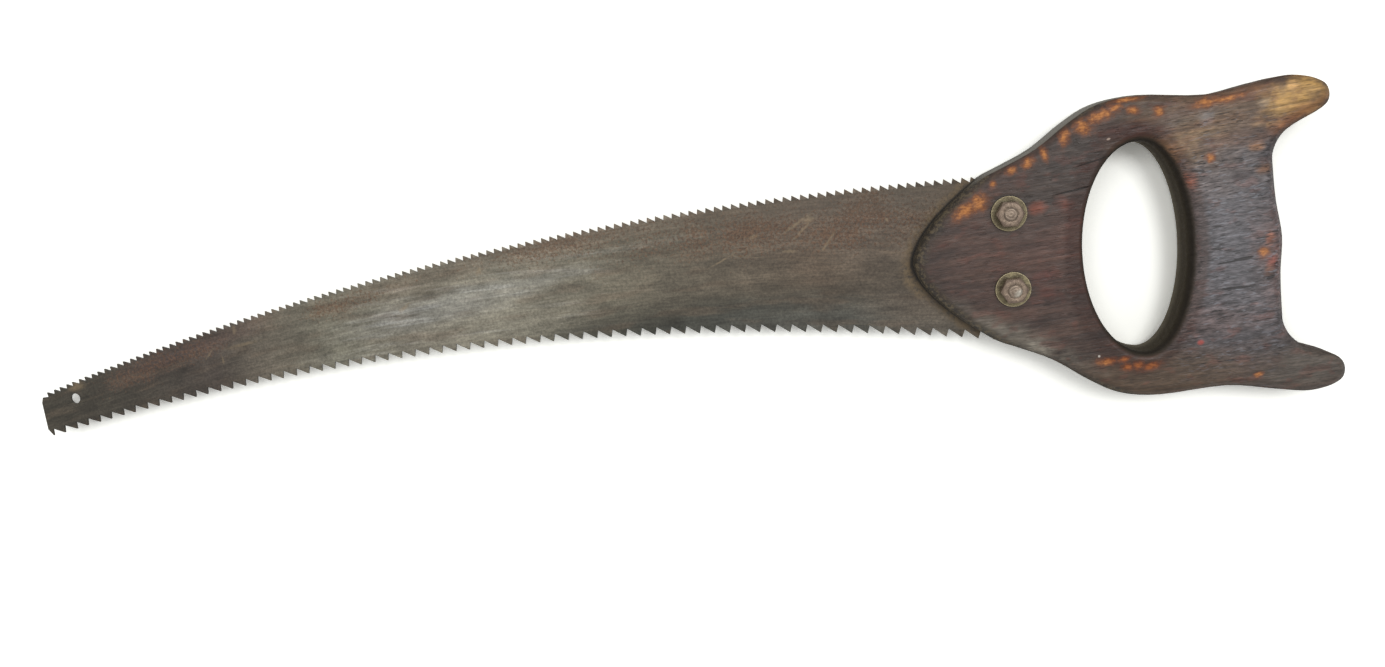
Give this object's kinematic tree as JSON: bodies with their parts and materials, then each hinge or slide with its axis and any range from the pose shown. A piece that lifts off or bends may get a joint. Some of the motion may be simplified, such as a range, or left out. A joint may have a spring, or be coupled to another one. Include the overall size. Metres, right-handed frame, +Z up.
{
  "type": "double edged pruning saw",
  "caption": "Curved pruning saw blade with fine teeth on one edge and coarse teeth on the other, bolted in a closed wooden handle.",
  "frame": {"origin": "under the middle of the whole saw, level with the bolt heads that it lies on, nuts up", "axes": "+X along the blade from its nose to the grip, +Y across the blade towards its fine teeth, +Z up through the blade's flat"},
  "size_m": [0.5758, 0.127, 0.0323],
  "materials": {
    "blade_steel": "dark brown patina with rust near the nose and worn steel along the middle",
    "handle_wood": "dark aged hardwood with a satin hand polish and orange worn spots",
    "washer_brass": "dull greenish patina",
    "nut_steel": "purple brown, worn bright on top",
    "bolt_steel": "purple brown, hammered end"
  },
  "bodies": {
    "root": {"blade": "blade_steel", "handle": "handle_wood", "upper_bolt": "bolt_steel", "lower_bolt": "bolt_steel", "upper_washer": "washer_brass", "lower_washer": "washer_brass", "upper_nut": "nut_steel", "lower_nut": "nut_steel"}
  },
  "joints": []
}
